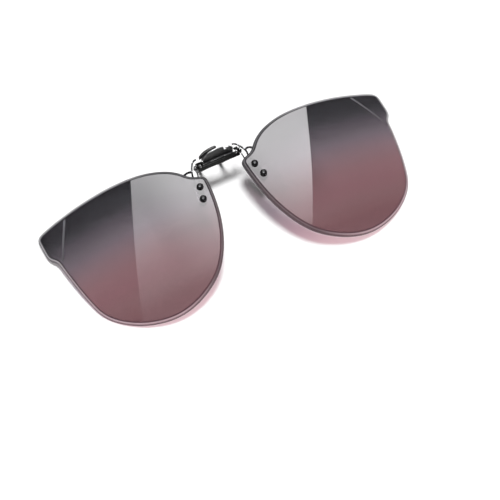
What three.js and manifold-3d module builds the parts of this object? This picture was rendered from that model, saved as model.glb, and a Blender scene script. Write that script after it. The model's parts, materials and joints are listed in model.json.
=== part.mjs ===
// Clip-on flip-up sunglasses: two rimless tinted lenses, each riveted to a small
// steel bracket with three wires, a cross rod carried by the wires, and a spring
// clip that turns on that rod and grips a pair of spectacles between rubber pads.
//
// Millimetres. The object lies face up on a table, as it is put down: +X along the
// pair of lenses, +Y towards their upper edges, +Z up. The origin is on the table
// under the middle of the object. The clip's four legs prop up the nose side.

import * as THREE from 'three';
import { mergeVertices, mergeGeometries } from 'three/addons/utils/BufferGeometryUtils.js';
import Module from 'manifold-3d';

const wasm = await Module();
wasm.setup();

// ---------- driving dimensions ----------
const TABLE_TILT_DEG = 7.2;       // lens front against the table, nose side up
const STAND = [0, 2.993, 12.942];  // lens-front datum above the table origin

const LENS_CENTRE_X = 40.64;      // middle of a lens from the centre plane
const LENS_WRAP_DEG = 12.1;       // each lens turned back round the face
const LENS_RADIUS = 111.0;        // front surface radius
const LENS_THICKNESS = 1.5;
const BEVEL_WIDTH = 1.15;         // ground bevel all round the front edge
const BEVEL_DEPTH = 0.45;
const OUTLINE_POINTS = 120;

const RIVET_HOLE_R = 0.8;
const RIVET_HEAD_R = 1.3;
const RIVET_SHANK_R = 0.5;
const RIVET_UPPER = [-29.2, 8.15];
const RIVET_LOWER = [-28.05, 3.15];

const GROOVE_TOP = [20.35, 22.1];
const GROOVE_END = [28.35, 6.9];
const GROOVE_HALF_WIDTH = 0.45;

const ROD_AXIS = [0, 16.15, 0.3];  // cross rod in the lens-front frame
const ROD_R = 0.4;
const ROD_HALF = 9.9;
const CLIP_TURN_DEG = 112;        // clip turned on the rod, from legs parallel to the lenses

const MAIN_WIRE_R = 0.35;
const BRACE_R = 0.45;
const STRUT_R = 0.25;

const CHANNEL_HALF = 8.5;
const LEG_X = 4.3;
const LEG_WIDTH = 1.2;
const LEG_END = -15.8;
const PAD_WIDTH = 2.9;
const PAD_TOP = -4.0;
const PAD_END = -16.62;
const TAB_LEAN_DEG = 30;

// lens outline: u outwards from the nose, v up, both from the lens middle
const OUTLINE = [
  [-32.6, 10.85], [-31.98, 11.8], [-30.8, 12.35], [-29.26, 12.94], [-27.86, 13.65], [-26.7, 14.68],
  [-25.6, 15.96], [-24.3, 17.28], [-22.55, 18.68], [-20.55, 19.94], [-18.2, 21.09], [-15.4, 22.14],
  [-12.2, 23.04], [-8.6, 23.69], [-4.6, 24.1], [-0.4, 24.32], [4.0, 24.34], [8.4, 24.2],
  [12.8, 23.99], [17.2, 23.64], [21.4, 23.2], [25.4, 22.73], [28.8, 22.22], [31.2, 21.69],
  [32.5, 20.9], [33.0, 19.6], [33.0, 17.2], [32.9, 14.8], [32.78, 12.6], [32.36, 10.97],
  [31.45, 9.6], [30.45, 8.39], [29.95, 6.99], [29.62, 5.01], [29.25, 2.62], [28.77, -0.2],
  [28.2, -3.41], [27.55, -6.81], [26.75, -10.42], [25.85, -13.92], [24.75, -17.3], [23.05, -20.36],
  [20.8, -23.05], [18.1, -25.45], [15.0, -27.6], [11.4, -29.5], [7.4, -31.0], [3.2, -31.98],
  [-1.0, -32.3], [-5.17, -31.92], [-9.23, -30.89], [-13.09, -29.32], [-16.71, -27.32], [-19.93, -24.92],
  [-22.68, -22.1], [-25.09, -18.77], [-27.24, -14.92], [-28.95, -11.04], [-30.31, -7.04], [-31.35, -2.97],
  [-32.04, 1.02], [-32.5, 4.81], [-32.75, 8.3],
];

// ---------- helpers ----------
function clean(geometry) {
  const g = geometry.index ? geometry.toNonIndexed() : geometry.clone();
  g.deleteAttribute('normal');
  g.deleteAttribute('uv');
  const m = mergeVertices(g, 1e-4);
  const p = m.attributes.position, idx = m.index.array, keep = [];
  let vol = 0;
  const a = new THREE.Vector3(), b = new THREE.Vector3(), c = new THREE.Vector3();
  for (let i = 0; i < idx.length; i += 3) {
    const [i0, i1, i2] = [idx[i], idx[i + 1], idx[i + 2]];
    if (i0 === i1 || i1 === i2 || i0 === i2) continue;
    a.fromBufferAttribute(p, i0); b.fromBufferAttribute(p, i1); c.fromBufferAttribute(p, i2);
    vol += a.dot(b.clone().cross(c));
    keep.push(i0, i1, i2);
  }
  if (vol < 0) for (let i = 0; i < keep.length; i += 3) [keep[i + 1], keep[i + 2]] = [keep[i + 2], keep[i + 1]];
  const out = new THREE.BufferGeometry();
  out.setAttribute('position', new THREE.BufferAttribute(new Float32Array(p.array), 3));
  out.setIndex(keep);
  return out;
}

function solid(geometry) {
  const g = clean(geometry);
  return new wasm.Manifold(new wasm.Mesh({
    numProp: 3,
    vertProperties: new Float32Array(g.attributes.position.array),
    triVerts: new Uint32Array(g.index.array),
  }));
}

function geometryOf(manifold) {
  const m = manifold.getMesh();
  const n = m.numProp, count = m.vertProperties.length / n, pos = new Float32Array(count * 3);
  for (let i = 0; i < count; i++) for (let k = 0; k < 3; k++) pos[3 * i + k] = m.vertProperties[n * i + k];
  const g = new THREE.BufferGeometry();
  g.setAttribute('position', new THREE.BufferAttribute(pos, 3));
  g.setIndex(Array.from(m.triVerts));
  return clean(g);
}

const join = (...list) => list.map((g) => (g.isBufferGeometry ? solid(g) : g)).reduce((a, b) => a.add(b));
const cut = (body, ...tools) => tools.map((g) => (g.isBufferGeometry ? solid(g) : g))
  .reduce((a, b) => a.subtract(b), body.isBufferGeometry ? solid(body) : body);

// mirror a geometry to the other side of the centre plane
function sided(geometry, side) {
  const g = geometry.clone();
  if (side < 0) g.applyMatrix4(new THREE.Matrix4().makeScale(-1, 1, 1));
  return clean(g);
}

// flat outline in the (z, y) plane, extruded along X from x0 to x1
function prismX(points, x0, x1) {
  const shape = new THREE.Shape(points.map(([z, y]) => new THREE.Vector2(z, y)));
  const g = new THREE.ExtrudeGeometry(shape, { depth: x1 - x0, bevelEnabled: false });
  // shape x -> z, shape y -> y, extrusion -> x
  g.applyMatrix4(new THREE.Matrix4().set(0, 0, 1, x0, 0, 1, 0, 0, 1, 0, 0, 0, 0, 0, 0, 1));
  return clean(g);
}

function cylinderX(r, x0, x1, sides = 20) {
  const g = new THREE.CylinderGeometry(r, r, x1 - x0, sides);
  g.rotateZ(-Math.PI / 2);
  g.translate((x0 + x1) / 2, 0, 0);
  return clean(g);
}

function ring(inner, outer, x0, x1, sides = 20) {
  return cut(cylinderX(outer, x0, x1, sides), cylinderX(inner, x0 - 1, x1 + 1, sides));
}

// turned shape about local +Z from [radius, height] pairs
function turned(profile, sides = 20) {
  const g = new THREE.LatheGeometry(profile.map(([r, h]) => new THREE.Vector2(r, h)), sides);
  g.rotateX(Math.PI / 2);
  return clean(g);
}

function wire(points, r, steps, sides = 8) {
  const curve = new THREE.CatmullRomCurve3(points.map((p) => new THREE.Vector3(...p)), false, 'centripetal');
  const shape = new THREE.Shape();
  for (let i = 0; i < sides; i++) {
    const a = (2 * Math.PI * i) / sides;
    i ? shape.lineTo(r * Math.cos(a), r * Math.sin(a)) : shape.moveTo(r, 0);
  }
  shape.closePath();
  return clean(new THREE.ExtrudeGeometry(shape, { steps, bevelEnabled: false, extrudePath: curve }));
}

function mesh(name, geometry, material) {
  const m = new THREE.Mesh(geometry.isBufferGeometry ? geometry : geometryOf(geometry), material.clone());
  m.name = name;
  return m;
}

const look = (color, roughness, metalness) => new THREE.MeshStandardMaterial({ color, roughness, metalness });
const LENS = look(0x6b5860, 0.05, 0.0);
const BLACK_METAL = look(0x1b1b1d, 0.25, 0.8);
const GUNMETAL = look(0x3a3a3d, 0.3, 0.9);
const STEEL = look(0x8a8a90, 0.25, 1.0);
const NYLON = look(0xd8d8d4, 0.5, 0.0);
const RUBBER = look(0x141414, 0.75, 0.0);

// ---------- lens ----------
const sag = (u, v) => -(u * u + v * v) / (2 * LENS_RADIUS);

const outlineCurve = new THREE.CatmullRomCurve3(OUTLINE.map(([u, v]) => new THREE.Vector3(u, v, 0)), true, 'centripetal');
const outer = outlineCurve.getSpacedPoints(OUTLINE_POINTS).slice(0, OUTLINE_POINTS).map((p) => [p.x, p.y]);
const inner = outer.map((p, i) => {
  const a = outer[(i + OUTLINE_POINTS - 1) % OUTLINE_POINTS], b = outer[(i + 1) % OUTLINE_POINTS];
  const du = b[0] - a[0], dv = b[1] - a[1], l = Math.hypot(du, dv);
  return [p[0] + (BEVEL_WIDTH * dv) / l, p[1] - (BEVEL_WIDTH * du) / l];
});

function lensBlank() {
  const rings = [];
  const scaled = (s, drop) => inner.map(([u, v]) => [u * s, v * s, sag(u * s, v * s) - drop]);
  for (const s of [0.25, 0.5, 0.75]) rings.push(scaled(s, 0));
  rings.push(inner.map(([u, v]) => [u, v, sag(u, v)]));
  rings.push(outer.map(([u, v]) => [u, v, sag(u, v) - BEVEL_DEPTH]));
  rings.push(outer.map(([u, v]) => [u, v, sag(u, v) - LENS_THICKNESS]));
  for (const s of [0.75, 0.5, 0.25]) rings.push(scaled(s, LENS_THICKNESS));
  const pos = [0, 0, 0], idx = [], n = OUTLINE_POINTS;
  for (const r of rings) for (const p of r) pos.push(...p);
  const last = pos.length / 3;
  pos.push(0, 0, -LENS_THICKNESS);
  for (let i = 0; i < n; i++) {
    const j = (i + 1) % n;
    idx.push(0, 1 + i, 1 + j);
    for (let k = 0; k < rings.length - 1; k++) {
      const a = 1 + k * n + i, b = 1 + k * n + j, c = a + n, d = b + n;
      idx.push(a, c, b, b, c, d);
    }
    idx.push(last, 1 + (rings.length - 1) * n + j, 1 + (rings.length - 1) * n + i);
  }
  const g = new THREE.BufferGeometry();
  g.setAttribute('position', new THREE.BufferAttribute(new Float32Array(pos), 3));
  g.setIndex(idx);
  return clean(g);
}

// frame on the lens front at the middle of its two rivets: +Z out of the surface,
// +Y towards the upper rivet
const rivetMid = [(RIVET_UPPER[0] + RIVET_LOWER[0]) / 2, (RIVET_UPPER[1] + RIVET_LOWER[1]) / 2];
const rivetPitch = Math.hypot(RIVET_UPPER[0] - RIVET_LOWER[0], RIVET_UPPER[1] - RIVET_LOWER[1]);
function rivetFrame(side) {
  const [u, v] = rivetMid;
  const z = new THREE.Vector3(side * (u / LENS_RADIUS), v / LENS_RADIUS, 1).normalize();
  const y = new THREE.Vector3(side * (RIVET_UPPER[0] - RIVET_LOWER[0]), RIVET_UPPER[1] - RIVET_LOWER[1], 0);
  y.addScaledVector(z, -y.dot(z)).normalize();
  const x = new THREE.Vector3().crossVectors(y, z);
  return new THREE.Matrix4().makeBasis(x, y, z).setPosition(side * u, v, sag(u, v));
}

function lensBody(side) {
  const blank = solid(sided(lensBlank(), side));
  const frame = rivetFrame(side);
  const tools = [-1, 1].map((k) => {
    const hole = new THREE.CylinderGeometry(RIVET_HOLE_R, RIVET_HOLE_R, 8, 16).rotateX(Math.PI / 2);
    hole.translate(0, (k * rivetPitch) / 2, 0).applyMatrix4(frame);
    return solid(hole);
  });
  const path = [0, 0.25, 0.5, 0.75, 1].map((t) => {
    const u = GROOVE_TOP[0] + t * (GROOVE_END[0] - GROOVE_TOP[0]);
    const v = GROOVE_TOP[1] + t * (GROOVE_END[1] - GROOVE_TOP[1]);
    return [side * u, v, sag(u, v) + 0.08];
  });
  tools.push(solid(wire(path, GROOVE_HALF_WIDTH, 8, 4)));
  return geometryOf(cut(blank, ...tools));
}

// ---------- one side of the lens front ----------
function lensSide(side) {
  const name = side > 0 ? 'right' : 'left';
  const group = new THREE.Group();
  group.position.set(side * LENS_CENTRE_X, 0, 0);
  group.rotation.y = side * THREE.MathUtils.degToRad(LENS_WRAP_DEG);
  group.add(mesh(`${name}_lens`, lensBody(side), LENS));

  const seat = new THREE.Group();
  rivetFrame(side).decompose(seat.position, seat.quaternion, seat.scale);
  group.add(seat);
  const rivet = turned([[0, -3.85], [RIVET_SHANK_R, -3.85], [RIVET_SHANK_R, 0.3], [RIVET_HEAD_R, 0.3],
    [RIVET_HEAD_R - 0.06, 0.52], [RIVET_HEAD_R - 0.3, 0.82], [RIVET_HEAD_R - 0.7, 1.02], [0, 1.1]], 20);
  const washer = turned([[0.8, -2.2], [1.5, -2.2], [1.5, -1.8], [0.8, -1.8], [0.8, -2.2]], 18);
  const nut = turned([[0.8, -4.05], [1.15, -4.05], [1.3, -3.9], [1.3, -3.25], [0.8, -3.25], [0.8, -4.05]], 12);
  for (const [k, label] of [[1, 'upper'], [-1, 'lower']]) {
    for (const [part, geometry, material] of [['rivet', rivet, BLACK_METAL], ['washer', washer, NYLON], ['rivet_collar', nut, STEEL]]) {
      const m = mesh(`${name}_${label}_${part}`, geometry, material);
      m.position.y = (k * rivetPitch) / 2;
      seat.add(m);
    }
  }
  // bracket plate behind the lens, a strap round both rivets with a shoulder above
  const w = 1.55, h = rivetPitch / 2, s = new THREE.Shape();
  s.moveTo(-w, -h);
  s.absarc(0, -h, w, Math.PI, 2 * Math.PI, false);
  s.lineTo(w, h + 0.6);
  s.lineTo(2.0, h + 2.6);
  s.lineTo(-2.0, h + 2.6);
  s.lineTo(-w, h + 0.6);
  s.closePath();
  const strap = new THREE.ExtrudeGeometry(s, { depth: 0.45, bevelEnabled: false, curveSegments: 10 }).translate(0, 0, -2.95);
  const holes = [-1, 1].map((k) => new THREE.CylinderGeometry(0.8, 0.8, 4, 14).rotateX(Math.PI / 2).translate(0, k * h, -2.7));
  seat.add(mesh(`${name}_lens_bracket`, cut(strap, ...holes), STEEL));
  return group;
}

// ---------- wires and rod ----------
function wires(side) {
  const name = side > 0 ? 'right' : 'left';
  const flip = (points) => points.map(([x, y, z]) => [side * x, y, z]);
  const group = new THREE.Group();
  group.add(mesh(`${name}_main_wire_arm`, wire(flip([
    [11.7, 11.25, -0.75], [11.5, 12.6, -0.8], [11.3, 13.6, -0.45], [11.3, 14.3, 0.15], [11.1, 15.0, 0.55],
    [10.7, 16.1, 0.65], [10.1, 17.35, 0.5], [9.2, 18.7, 0.4], [8.35, 19.25, 0.6], [7.6, 19.2, 1.15],
  ]), MAIN_WIRE_R, 20, 8), STEEL));
  group.add(mesh(`${name}_brace_bar`, wire(flip([
    [15.2, 14.9, -1.75], [14.3, 15.75, -1.2], [13.2, 16.1, -0.6], [12.2, 16.0, 0.0], [11.35, 15.65, 0.42],
  ]), BRACE_R, 8, 8), STEEL));
  group.add(mesh(`${name}_thin_strut`, wire(flip([
    [9.8, 11.25, -0.75], [9.65, 12.3, -0.75], [9.5, 13.1, -0.5], [9.3, 14.0, 0.0], [9.2, 14.7, 0.22],
  ]), STRUT_R, 8, 6), STEEL));
  const eyelet = mesh(`${name}_rod_eyelet`, ring(ROD_R + 0.28, 1.1, side > 0 ? 8.85 : -9.5, side > 0 ? 9.5 : -8.85, 18), STEEL);
  eyelet.position.set(...ROD_AXIS);
  group.add(eyelet);
  return group;
}

const rod = mesh('flip_rod', cylinderX(ROD_R, -ROD_HALF, ROD_HALF, 16), STEEL);
rod.position.set(...ROD_AXIS);

// ---------- clip body: channel stamped with the two front legs ----------
function channelBody() {
  const skin = [[1.65, -1.6], [1.65, 0.62], [0.55, 1.7], [-1.0, 1.7], [-1.75, 0.85], [-1.75, 0.3],
    [-1.35, 0.3], [-1.35, 0.7], [-0.82, 1.3], [0.4, 1.3], [1.28, 0.46], [1.28, -1.6]];
  const cheek = [[1.65, -1.6], [1.65, 0.62], [0.55, 1.7], [-1.0, 1.7], [-1.75, 0.85], [-1.75, -0.3], [-0.6, -1.6]];
  let body = join(prismX(skin, -CHANNEL_HALF, CHANNEL_HALF),
    prismX(cheek, -CHANNEL_HALF, -CHANNEL_HALF + 0.45), prismX(cheek, CHANNEL_HALF - 0.45, CHANNEL_HALF));
  const leg = [[1.65, -1.2], [1.65, -2.3], [1.05, -3.2], [1.05, LEG_END], [0.65, LEG_END], [0.65, -3.08], [1.28, -2.18], [1.28, -1.2]];
  body = join(body, prismX(leg, LEG_X - LEG_WIDTH / 2, LEG_X + LEG_WIDTH / 2), prismX(leg, -LEG_X - LEG_WIDTH / 2, -LEG_X + LEG_WIDTH / 2));
  const tabSlot = prismX([[-2.5, 0.1], [-0.2, 0.1], [-0.2, 2.4], [-2.5, 2.4]], -6.1, 7.0);
  const pinHole = (x) => new THREE.CylinderGeometry(0.8, 0.8, 1.4, 14).translate(x, 1.7, -0.15);
  return cut(body, tabSlot, cylinderX(ROD_R + 0.3, -CHANNEL_HALF - 1, CHANNEL_HALF + 1, 20), pinHole(-7.3), pinHole(7.55));
}

function pad(front) {
  // rubber pad: chamfered block with a socket that the leg's end sits in
  const z0 = front ? 0.15 : -1.55, z1 = z0 + 1.4, c = 0.35, w = PAD_WIDTH / 2;
  const out = front ? [z0, z1] : [z1, z0]; // gripping face first
  const s = new THREE.Shape();
  const sgn = front ? 1 : -1;
  s.moveTo(-w, out[0]); s.lineTo(w, out[0]); s.lineTo(w, out[1] - sgn * c); s.lineTo(w - c, out[1]);
  s.lineTo(-w + c, out[1]); s.lineTo(-w, out[1] - sgn * c); s.closePath();
  const block = new THREE.ExtrudeGeometry(s, { depth: PAD_TOP - PAD_END, bevelEnabled: false });
  // shape x -> x, shape y -> z, extrusion -> -y
  block.applyMatrix4(new THREE.Matrix4().set(1, 0, 0, 0, 0, 0, -1, PAD_TOP, 0, 1, 0, 0, 0, 0, 0, 1));
  const mid = (z0 + z1) / 2;
  const socket = new THREE.BoxGeometry(LEG_WIDTH + 0.5, PAD_TOP - LEG_END + 0.3 + 1, 0.8)
    .translate(0, (PAD_TOP + 1 + LEG_END - 0.3) / 2, mid);
  return cut(block, socket);
}

// ---------- rear jaw: barrels, two legs and the press tab in one stamping ----------
const lean = THREE.MathUtils.degToRad(TAB_LEAN_DEG);
// place (x, t, m): t along the tab away from the rod, m behind the tab
const tabMatrix = new THREE.Matrix4().set(
  1, 0, 0, 0,
  0, Math.cos(lean), -Math.sin(lean), 0,
  0, -Math.sin(lean), -Math.cos(lean), 0,
  0, 0, 0, 1);
function tabPlate(points, m0, m1) {
  const s = new THREE.Shape(points.map(([x, t]) => new THREE.Vector2(x, t)));
  const g = new THREE.ExtrudeGeometry(s, { depth: m1 - m0, bevelEnabled: false }).translate(0, 0, m0);
  g.applyMatrix4(tabMatrix);
  return clean(g);
}

function rearJaw() {
  const tab = tabPlate([[-5.6, 0.1], [-3.0, 0.1], [-3.0, 0.92], [3.0, 0.92], [3.0, 0.1], [6.6, 0.1], [6.6, 3.0],
    [5.8, 4.1], [4.9, 4.9], [3.9, 4.9], [3.7, 4.0], [3.1, 4.0], [2.8, 5.5], [1.8, 6.2], [0.2, 6.6], [-1.5, 6.5],
    [-3.2, 6.0], [-4.7, 5.2], [-5.9, 4.0], [-6.3, 2.9], [-5.6, 2.3]], 0.5, 0.9);
  const leg = [[-0.65, 0], [-0.65, LEG_END], [-1.05, LEG_END], [-1.05, 0]];
  const strip = (x) => prismX(leg, x - LEG_WIDTH / 2, x + LEG_WIDTH / 2);
  // the root of the tab is rolled over the spring, with a slit for the spring's arm
  const arc = (r, k) => { const a = THREE.MathUtils.degToRad(-4 + k * 9); return [-r * Math.sin(a), r * Math.cos(a)]; };
  const steps = [...Array(13).keys()];
  const roll = prismX([...steps.map((k) => arc(1.18, k)), ...steps.reverse().map((k) => arc(1.0, k))], -3.05, 3.05);
  const slit = prismX([[-0.85, 0.7], [0.5, 0.7], [0.5, 1.6], [-0.85, 1.6]], 2.08, 2.62);
  const barrels = join(cylinderX(0.95, 3.0, 6.4, 20), cylinderX(0.95, -6.4, -3.0, 20), tab, cut(roll, slit), strip(LEG_X), strip(-LEG_X));
  return cut(barrels, cylinderX(0.66, -8, 8, 20));
}

const tabPad = tabPlate([[-6.9, 2.9], [-0.1, 2.9], [0.2, 6.9], [-0.3, 7.4], [-1.4, 7.5], [-3.0, 7.3], [-4.6, 6.7],
  [-6.0, 5.7], [-6.9, 4.4]], 1.2, 1.7);

function torsionSpring() {
  const turns = 5, r = 0.82, pts = [];
  const from = -2.35, to = 2.35;
  // leg against the inside of the front wall
  pts.push([from, -1.25, 1.08], [from, -0.7, 0.98]);
  const n = turns * 12;
  for (let i = 0; i <= n; i++) {
    const a = (i / 12) * 2 * Math.PI;
    pts.push([from + ((to - from) * i) / n, r * Math.sin(a), r * Math.cos(a)]);
  }
  // leg along the front of the tab: tangent to the last turn, up and back
  pts.push([to, 0.75, 0.55], [to, 1.5, -0.35], [to, 2.1, -0.72]);
  const curve = new THREE.CatmullRomCurve3(pts.map((p) => new THREE.Vector3(...p)), false, 'centripetal');
  const s = new THREE.Shape();
  for (let i = 0; i < 6; i++) {
    const a = (i / 6) * 2 * Math.PI;
    i ? s.lineTo(0.14 * Math.cos(a), 0.14 * Math.sin(a)) : s.moveTo(0.14, 0);
  }
  s.closePath();
  return clean(new THREE.ExtrudeGeometry(s, { steps: 88, bevelEnabled: false, extrudePath: curve }));
}

const leaf = prismX([[-1.15, 1.02], [-0.35, 0.82], [0.35, 0.82], [1.0, 0.6], [1.0, 0.42], [0.35, 0.64], [-0.35, 0.64 + 0.02], [-1.15, 0.84]], -6.9, -6.45);

const endPin = turned([[0, 0.78], [0.3, 0.78], [0.3, 1.42], [0.52, 1.42], [0.52, 1.78], [0.36, 1.96], [0, 2.04]], 14)
  .rotateX(-Math.PI / 2);

function clip() {
  const body = new THREE.Group();
  body.position.set(...ROD_AXIS);
  body.rotation.x = THREE.MathUtils.degToRad(CLIP_TURN_DEG);
  body.add(mesh('clip_channel', channelBody(), GUNMETAL));
  body.add(mesh('rear_jaw', rearJaw(), BLACK_METAL));
  body.add(mesh('press_tab_pad', tabPad, RUBBER));
  body.add(mesh('jaw_torsion_spring', torsionSpring(), STEEL));
  body.add(mesh('detent_leaf_spring', leaf, STEEL));
  for (const [x, name] of [[-7.3, 'left'], [7.55, 'right']]) {
    const pin = mesh(`${name}_end_pin`, endPin, STEEL);
    pin.position.set(x, 0, -0.15);
    body.add(pin);
  }
  for (const side of [-1, 1]) {
    const name = side > 0 ? 'right' : 'left';
    for (const front of [true, false]) {
      const p = mesh(`${name}_${front ? 'front' : 'rear'}_leg_pad`, pad(front), RUBBER);
      p.position.x = side * LEG_X;
      body.add(p);
    }
  }
  return body;
}

// ---------- assembly ----------
const group = new THREE.Group();
const front = new THREE.Group();
front.position.set(...STAND);
front.rotation.x = THREE.MathUtils.degToRad(TABLE_TILT_DEG);
for (const side of [-1, 1]) {
  front.add(lensSide(side));
  front.add(wires(side));
}
front.add(rod);
front.add(clip());
group.add(front);

export default group;
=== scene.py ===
# Looks for the clip-on flip-up sunglasses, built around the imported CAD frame.
# Lengths in the tables below are millimetres in the lens-front frame; K takes them to metres.
import bpy, json, math
import numpy as np
from mathutils import Matrix, Vector
from mathutils.geometry import delaunay_2d_cdt

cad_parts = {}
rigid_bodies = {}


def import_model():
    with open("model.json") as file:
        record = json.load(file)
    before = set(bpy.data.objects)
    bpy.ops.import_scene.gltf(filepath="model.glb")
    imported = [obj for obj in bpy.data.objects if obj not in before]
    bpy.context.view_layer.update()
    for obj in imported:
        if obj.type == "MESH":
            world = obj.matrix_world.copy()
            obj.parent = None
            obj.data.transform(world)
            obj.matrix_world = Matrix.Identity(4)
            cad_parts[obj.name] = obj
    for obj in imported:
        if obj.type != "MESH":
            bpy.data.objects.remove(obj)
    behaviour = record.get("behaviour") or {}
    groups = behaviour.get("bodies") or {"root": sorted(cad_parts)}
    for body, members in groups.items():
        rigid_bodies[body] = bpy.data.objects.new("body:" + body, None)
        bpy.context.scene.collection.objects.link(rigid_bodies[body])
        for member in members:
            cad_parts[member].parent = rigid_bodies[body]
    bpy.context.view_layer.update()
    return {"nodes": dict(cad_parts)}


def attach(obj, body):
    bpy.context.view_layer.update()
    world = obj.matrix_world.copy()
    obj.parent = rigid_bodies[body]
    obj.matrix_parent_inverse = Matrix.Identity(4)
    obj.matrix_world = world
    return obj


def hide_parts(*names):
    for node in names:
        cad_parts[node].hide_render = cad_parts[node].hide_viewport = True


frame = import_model()
nodes = frame["nodes"]
scene = bpy.context.scene
K = 0.001

# ---------------------------------------------------------------- frames
FRONT = Matrix.Translation((0, 2.993, 12.942)) @ Matrix.Rotation(math.radians(7.2), 4, "X")
ROD = Vector((0, 16.15, 0.3))
CLIP = FRONT @ Matrix.Translation(ROD) @ Matrix.Rotation(math.radians(112), 4, "X")
RADIUS, THICK = 111.0, 1.5
UPPER, LOWER = (-29.2, 8.15), (-28.05, 3.15)


def lens_frame(side):
    return FRONT @ Matrix.Translation((side * 40.64, 0, 0)) @ Matrix.Rotation(side * math.radians(12.1), 4, "Y")


def sag(u, v):
    return -(u * u + v * v) / (2 * RADIUS)


def seat_frame(side):
    u, v = (UPPER[0] + LOWER[0]) / 2, (UPPER[1] + LOWER[1]) / 2
    z = Vector((side * u / RADIUS, v / RADIUS, 1)).normalized()
    y = Vector((side * (UPPER[0] - LOWER[0]), UPPER[1] - LOWER[1], 0))
    y = (y - z * y.dot(z)).normalized()
    x = y.cross(z)
    m = Matrix((x, y, z)).transposed().to_4x4()
    m.translation = Vector((side * u, v, sag(u, v)))
    return m


PITCH = math.hypot(UPPER[0] - LOWER[0], UPPER[1] - LOWER[1])

OUTLINE = [
    (-32.6, 10.85), (-31.98, 11.8), (-30.8, 12.35), (-29.26, 12.94), (-27.86, 13.65), (-26.7, 14.68),
    (-25.6, 15.96), (-24.3, 17.28), (-22.55, 18.68), (-20.55, 19.94), (-18.2, 21.09), (-15.4, 22.14),
    (-12.2, 23.04), (-8.6, 23.69), (-4.6, 24.1), (-0.4, 24.32), (4.0, 24.34), (8.4, 24.2),
    (12.8, 23.99), (17.2, 23.64), (21.4, 23.2), (25.4, 22.73), (28.8, 22.22), (31.2, 21.69),
    (32.5, 20.9), (33.0, 19.6), (33.0, 17.2), (32.9, 14.8), (32.78, 12.6), (32.36, 10.97),
    (31.45, 9.6), (30.45, 8.39), (29.95, 6.99), (29.62, 5.01), (29.25, 2.62), (28.77, -0.2),
    (28.2, -3.41), (27.55, -6.81), (26.75, -10.42), (25.85, -13.92), (24.75, -17.3), (23.05, -20.36),
    (20.8, -23.05), (18.1, -25.45), (15.0, -27.6), (11.4, -29.5), (7.4, -31.0), (3.2, -31.98),
    (-1.0, -32.3), (-5.17, -31.92), (-9.23, -30.89), (-13.09, -29.32), (-16.71, -27.32), (-19.93, -24.92),
    (-22.68, -22.1), (-25.09, -18.77), (-27.24, -14.92), (-28.95, -11.04), (-30.31, -7.04), (-31.35, -2.97),
    (-32.04, 1.02), (-32.5, 4.81), (-32.75, 8.3)]


# ---------------------------------------------------------------- curves
def catmull(p0, p1, p2, p3, t):
    """Centripetal Catmull-Rom between p1 and p2 at the values t."""
    d = [max(np.linalg.norm(b - a) ** 0.5, 1e-6) for a, b in ((p0, p1), (p1, p2), (p2, p3))]
    t1 = ((p1 - p0) / d[0] - (p2 - p0) / (d[0] + d[1]) + (p2 - p1) / d[1]) * d[1]
    t2 = ((p2 - p1) / d[1] - (p3 - p1) / (d[1] + d[2]) + (p3 - p2) / d[2]) * d[1]
    t = np.asarray(t)[:, None]
    return p1 + t1 * t + (-3 * p1 + 3 * p2 - 2 * t1 - t2) * t ** 2 + (2 * p1 - 2 * p2 + t1 + t2) * t ** 3


def closed_curve(points, per):
    p = np.array(points, float)
    n = len(p)
    t = np.arange(per) / per
    return np.vstack([catmull(p[i - 1], p[i], p[(i + 1) % n], p[(i + 2) % n], t) for i in range(n)])


def open_curve(points, per):
    p = np.array(points, float)
    p = np.vstack([2 * p[0] - p[1], p, 2 * p[-1] - p[-2]])
    t = np.arange(per) / per
    rows = [catmull(p[i], p[i + 1], p[i + 2], p[i + 3], t) for i in range(len(p) - 3)]
    return np.vstack(rows + [p[-2][None]])


def spaced(points, n, closed):
    p = np.vstack([points, points[:1]]) if closed else np.asarray(points)
    s = np.concatenate([[0], np.cumsum(np.linalg.norm(np.diff(p, axis=0), axis=1))])
    at = np.linspace(0, s[-1], n + 1)[:-1] if closed else np.linspace(0, s[-1], n)
    return np.stack([np.interp(at, s, p[:, k]) for k in range(p.shape[1])], 1)


# ---------------------------------------------------------------- meshes
def piece(name, verts, faces, matrix, materials, body, stands_for=(), face_mats=None, angle=35, uv=None, normals=None):
    """Makes a mesh object in the row frame from millimetre vertices."""
    mesh = bpy.data.meshes.new(name)
    m = np.array(matrix)
    co = (np.asarray(verts, float) @ m[:3, :3].T + m[:3, 3]) * K
    mesh.from_pydata(co.tolist(), [], [list(map(int, f)) for f in faces])
    for mat in materials:
        mesh.materials.append(mat)
    if face_mats is not None:
        mesh.polygons.foreach_set("material_index", np.asarray(face_mats, np.int32))
    mesh.shade_smooth()
    mesh.set_sharp_from_angle(angle=math.radians(angle))
    if uv is not None:
        layer = mesh.uv_layers.new(name="place")
        index = np.zeros(len(mesh.loops), np.int32)
        mesh.loops.foreach_get("vertex_index", index)
        layer.data.foreach_set("uv", np.asarray(uv, np.float32)[index].ravel())
    if normals is not None:
        loop_normals = np.zeros((len(mesh.loops), 3))
        index = np.zeros(len(mesh.loops), np.int32)
        mesh.loops.foreach_get("vertex_index", index)
        owner = np.zeros(len(mesh.loops), np.int32)
        for poly in mesh.polygons:
            owner[poly.loop_start:poly.loop_start + poly.loop_total] = poly.material_index
        use = np.isin(owner, list(normals[0]))
        loop_normals[use] = (normals[1] @ m[:3, :3].T)[index[use]]
        flip = np.isin(owner, list(normals[2]))
        loop_normals[flip] = -(normals[1] @ m[:3, :3].T)[index[flip]]
        mesh.normals_split_custom_set(loop_normals.tolist())
    mesh.update()
    obj = bpy.data.objects.new(name, mesh)
    scene.collection.objects.link(obj)
    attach(obj, body)
    if stands_for:
        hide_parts(*stands_for)
    return obj


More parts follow.
